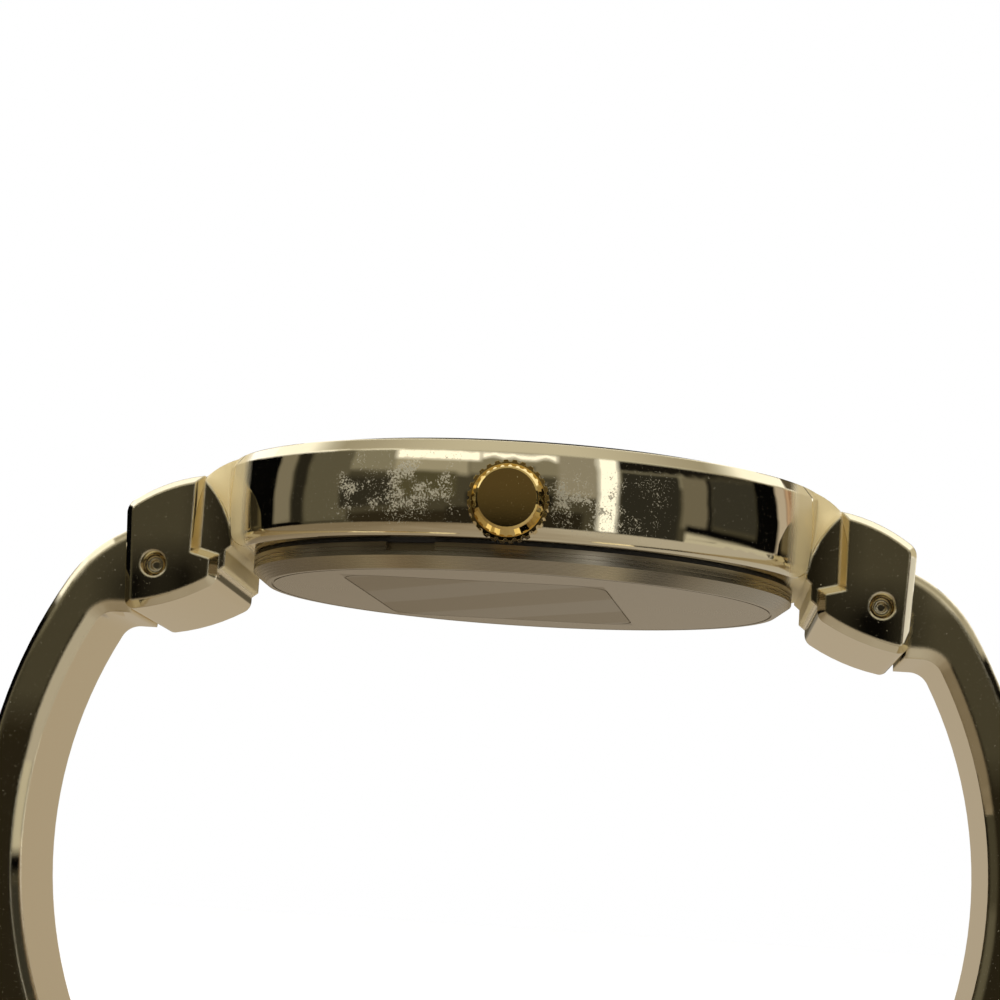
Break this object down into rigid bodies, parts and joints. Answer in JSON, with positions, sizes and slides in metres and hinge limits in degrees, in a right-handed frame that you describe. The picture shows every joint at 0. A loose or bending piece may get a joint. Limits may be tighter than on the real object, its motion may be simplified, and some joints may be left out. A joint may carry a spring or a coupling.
{
  "type": "bangle watch",
  "caption": "Analogue quartz watch on a rigid open bangle, whose spring-hinged arms swing out from lug blocks beside a round case.",
  "frame": {"origin": "centre of the flat outer face of the case back", "axes": "+Z out through the dial, +X to 12 o'clock, -Y to 3 o'clock and the crown; the wrist passes through along Y, below the case"},
  "size_m": [0.0624, 0.0397, 0.0515],
  "materials": {
    "case_gold": "polished pale gold plating on steel",
    "crown_gold": "polished yellow gold plating",
    "back_steel": "satin, fine turned lines, matte etched panel",
    "crystal_glass": "flat mineral glass, polished",
    "black_rubber": "moulded",
    "clear_nylon": "moulded nylon",
    "dial_lacquer": "satin lacquer on brass",
    "hand_gold": "polished and lacquered",
    "bright_steel": "ground and polished",
    "spring_steel": "drawn wire",
    "screw_steel": "turned, slotted heads",
    "plate_brass": "milled and gilded",
    "wheel_brass": "punched and gilded",
    "holder_plastic": "moulded",
    "circuit_green": "coated circuit board",
    "chip_black": "moulded resin",
    "can_metal": "drawn and nickel plated",
    "battery_steel": "drawn steel can",
    "copper_wire": "enamelled copper wire",
    "soft_iron": "punched soft iron",
    "magnet": "sintered magnet"
  },
  "bodies": {
    "case": {"case_body": "case_gold", "crystal": "crystal_glass", "crystal_gasket": "clear_nylon", "case_back": "back_steel", "case_back_gasket": "black_rubber", "crown_tube": "bright_steel", "dial": "dial_lacquer", "dial_ring": "dial_lacquer", "hour_markers": "hand_gold", "dial_washer": "bright_steel", "stator": "soft_iron", "coil_core": "soft_iron", "coil_winding": "copper_wire", "coil_screws": "screw_steel", "main_plate": "plate_brass", "train_bridge": "plate_brass", "bridge_screws": "screw_steel", "movement_holder": "holder_plastic", "battery": "battery_steel", "battery_contact": "can_metal", "battery_clamp": "can_metal", "clamp_screw": "screw_steel", "circuit_board": "circuit_green", "circuit_screws": "screw_steel", "timing_chip": "chip_black", "quartz_can": "can_metal", "hinge_pin_12": "bright_steel", "hinge_pin_6": "bright_steel"},
    "bangle_arm_12": {"bangle_arm_12": "case_gold", "hinge_spring_12": "spring_steel"},
    "bangle_arm_6": {"bangle_arm_6": "case_gold", "hinge_spring_6": "spring_steel"},
    "crown_slide": {"crown_gasket": "black_rubber"},
    "crown": {"crown": "crown_gold", "winding_stem": "bright_steel", "clutch_pinion": "bright_steel"},
    "setting_lever": {"setting_lever": "bright_steel"},
    "minute_hand": {"cannon_pinion": "wheel_brass", "minute_hand": "hand_gold"},
    "hour_hand": {"hour_wheel": "wheel_brass", "hour_hand": "hand_gold"},
    "minute_wheel": {"minute_wheel": "wheel_brass"},
    "setting_wheel": {"setting_wheel": "wheel_brass"},
    "seconds_hand": {"fourth_wheel": "wheel_brass", "seconds_hand": "hand_gold"},
    "third_wheel": {"third_wheel": "wheel_brass"},
    "centre_wheel": {"centre_wheel": "wheel_brass"},
    "fifth_wheel": {"fifth_wheel": "wheel_brass"},
    "rotor": {"rotor_pinion": "bright_steel", "rotor_magnet": "magnet"}
  },
  "joints": [
    {"name": "bangle_arm_12_swing", "type": "hinge", "parent": "case", "child": "bangle_arm_12", "pos_m": [0.0213, 0, 0.00015], "axis": [0, -1, 0], "range_deg": [0, 20], "stiffness_Nm_per_rad": 0.02, "springref_deg": -28.65},
    {"name": "bangle_arm_6_swing", "type": "hinge", "parent": "case", "child": "bangle_arm_6", "pos_m": [-0.0213, 0, 0.00015], "axis": [0, 1, 0], "range_deg": [0, 20], "stiffness_Nm_per_rad": 0.02, "springref_deg": -28.65},
    {"name": "crown_pull", "type": "slide", "parent": "case", "child": "crown_slide", "axis": [0, -1, 0], "range_m": [0, 0.0008]},
    {"name": "crown_turn", "type": "hinge", "parent": "crown_slide", "child": "crown", "pos_m": [0, -0.0195, 0.0034], "axis": [0, -1, 0], "continuous": true},
    {"name": "setting_lever_turn", "type": "hinge", "parent": "case", "child": "setting_lever", "pos_m": [0.0024, -0.0092, 0.0027], "axis": [0, 0, 1], "range_deg": [0, 19.3]},
    {"name": "minute_hand_turn", "type": "hinge", "parent": "case", "child": "minute_hand", "pos_m": [0, 0, 0.0045], "axis": [0, 0, 1], "continuous": true},
    {"name": "hour_hand_turn", "type": "hinge", "parent": "case", "child": "hour_hand", "pos_m": [0, 0, 0.0045], "axis": [0, 0, 1], "continuous": true},
    {"name": "minute_wheel_turn", "type": "hinge", "parent": "case", "child": "minute_wheel", "pos_m": [-0.00185, -0.00221, 0.0037], "axis": [0, 0, 1], "continuous": true},
    {"name": "setting_wheel_turn", "type": "hinge", "parent": "case", "child": "setting_wheel", "pos_m": [-0.00162, -0.00544, 0.00365], "axis": [0, 0, 1], "continuous": true},
    {"name": "seconds_hand_turn", "type": "hinge", "parent": "case", "child": "seconds_hand", "pos_m": [0, 0, 0.003], "axis": [0, 0, 1], "continuous": true},
    {"name": "third_wheel_turn", "type": "hinge", "parent": "case", "child": "third_wheel", "pos_m": [0.0017, 0.00294, 0.0021], "axis": [0, 0, 1], "continuous": true},
    {"name": "centre_wheel_turn", "type": "hinge", "parent": "case", "child": "centre_wheel", "pos_m": [0, 0, 0.0025], "axis": [0, 0, 1], "continuous": true},
    {"name": "fifth_wheel_turn", "type": "hinge", "parent": "case", "child": "fifth_wheel", "pos_m": [-0.00316, -0.00115, 0.0021], "axis": [0, 0, 1], "continuous": true},
    {"name": "rotor_turn", "type": "hinge", "parent": "case", "child": "rotor", "pos_m": [-0.00558, 0.00025, 0.0021], "axis": [0, 0, 1], "continuous": true}
  ],
  "couplings": [
    {"joint": "setting_lever_turn", "follows": "crown_pull", "rad_per_m": 416.67},
    {"joint": "hour_hand_turn", "follows": "minute_hand_turn", "ratio": 0.083333},
    {"joint": "minute_wheel_turn", "follows": "minute_hand_turn", "ratio": -0.33333},
    {"joint": "setting_wheel_turn", "follows": "minute_hand_turn", "ratio": 0.66667},
    {"joint": "third_wheel_turn", "follows": "seconds_hand_turn", "ratio": -0.13333},
    {"joint": "centre_wheel_turn", "follows": "seconds_hand_turn", "ratio": 0.016667},
    {"joint": "fifth_wheel_turn", "follows": "seconds_hand_turn", "ratio": -5},
    {"joint": "rotor_turn", "follows": "seconds_hand_turn", "ratio": 30}
  ]
}
